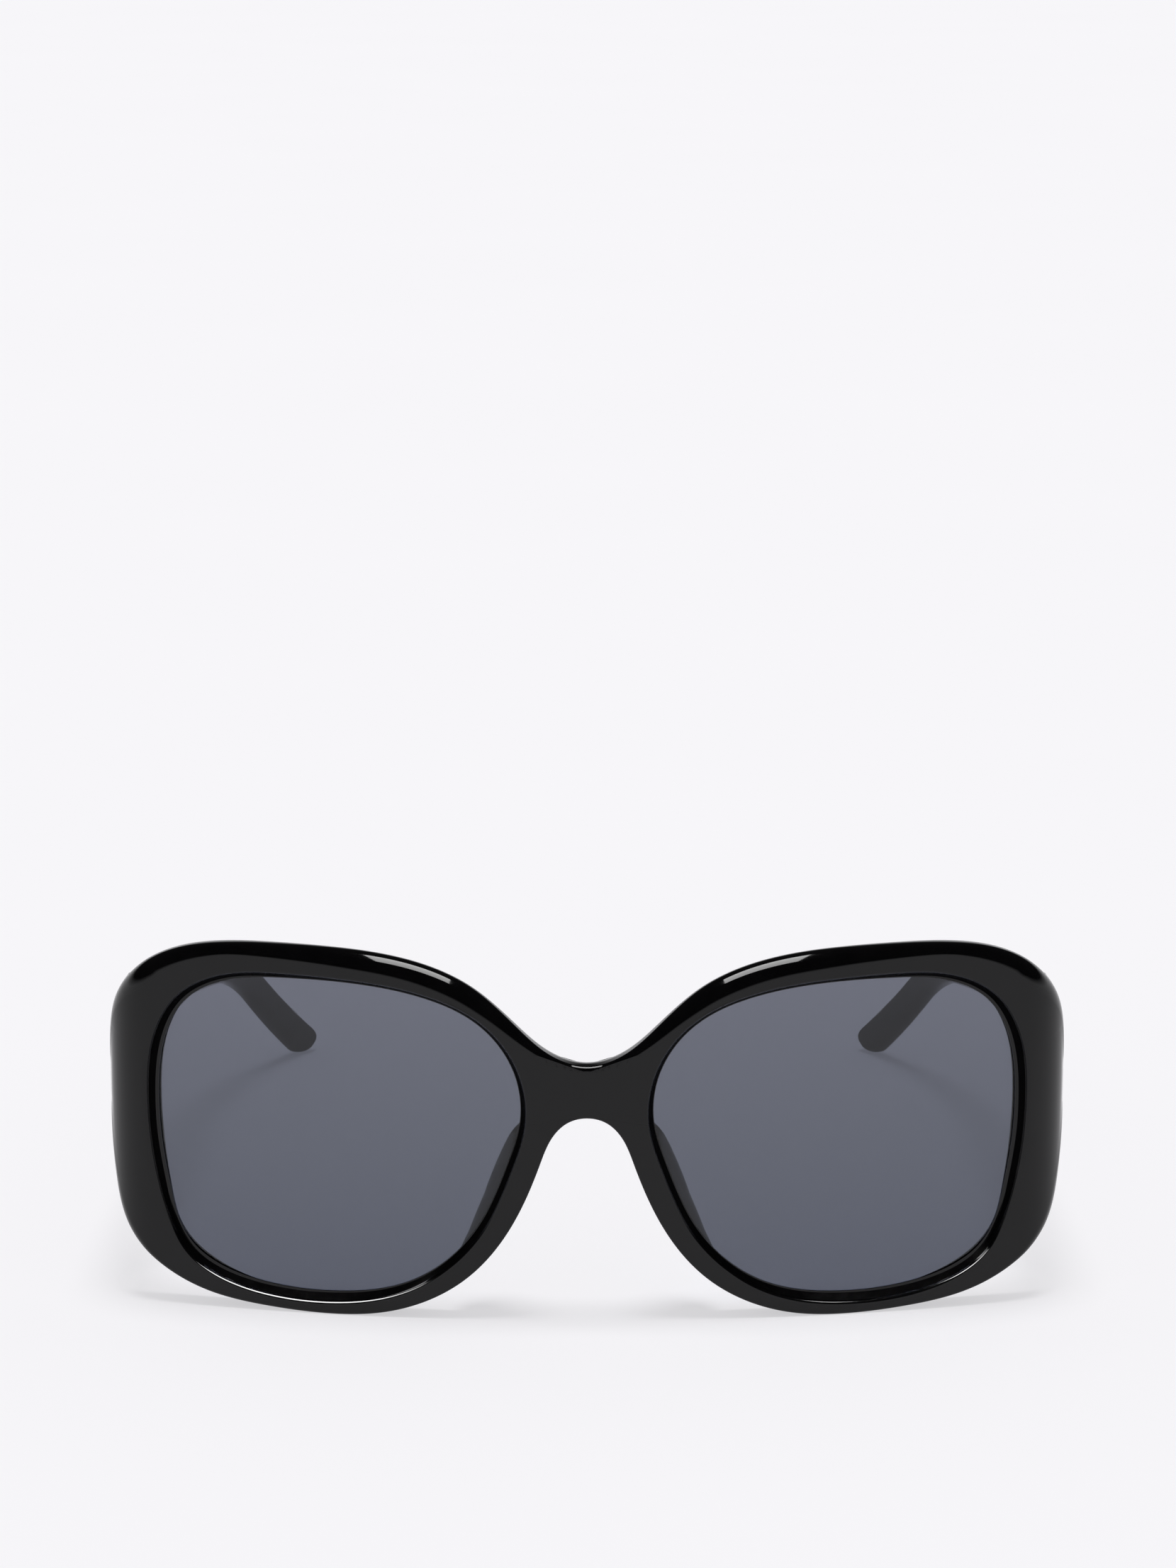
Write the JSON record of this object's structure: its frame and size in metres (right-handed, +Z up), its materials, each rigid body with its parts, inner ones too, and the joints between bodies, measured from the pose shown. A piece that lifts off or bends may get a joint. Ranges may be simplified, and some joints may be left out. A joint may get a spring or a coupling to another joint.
{
  "type": "oversized sunglasses",
  "caption": "Oversized rounded-square sunglasses with a curved black front, smoke grey lenses, nose pads and deep temples that fold flat on screwed hinges.",
  "frame": {"origin": "on the table, under the middle of the opened sunglasses", "axes": "+Z up, the front faces -Y, the temples run back along +Y, the wearer's left is +X"},
  "size_m": [0.1508, 0.1544, 0.0586],
  "materials": {
    "front": "polished black acetate",
    "pad": "polished black acetate, cemented on",
    "temple": "polished black acetate",
    "lens": "smoke grey plastic lens, polished",
    "hinge": "nickel silver hinge leaf, tumbled",
    "screw": "steel screw, bright",
    "core": "nickel silver core strip, drawn"
  },
  "bodies": {
    "front": {"front_frame": "front", "left_lens": "lens", "left_nose_pad": "pad", "left_front_hinge": "hinge", "left_front_hinge_screws": "screw", "left_hinge_screw": "screw", "right_lens": "lens", "right_nose_pad": "pad", "right_front_hinge": "hinge", "right_front_hinge_screws": "screw", "right_hinge_screw": "screw"},
    "left_temple_arm": {"left_temple": "temple", "left_temple_hinge": "hinge", "left_temple_hinge_screws": "screw", "left_temple_core": "core"},
    "right_temple_arm": {"right_temple": "temple", "right_temple_hinge": "hinge", "right_temple_hinge_screws": "screw", "right_temple_core": "core"}
  },
  "joints": [
    {"name": "left_temple_fold", "type": "hinge", "parent": "front", "child": "left_temple_arm", "pos_m": [0.07074, -0.05407, 0.031], "axis": [0, 0, 1], "range_deg": [0, 84]},
    {"name": "right_temple_fold", "type": "hinge", "parent": "front", "child": "right_temple_arm", "pos_m": [-0.07074, -0.05407, 0.031], "axis": [0, 0, -1], "range_deg": [0, 77]}
  ]
}
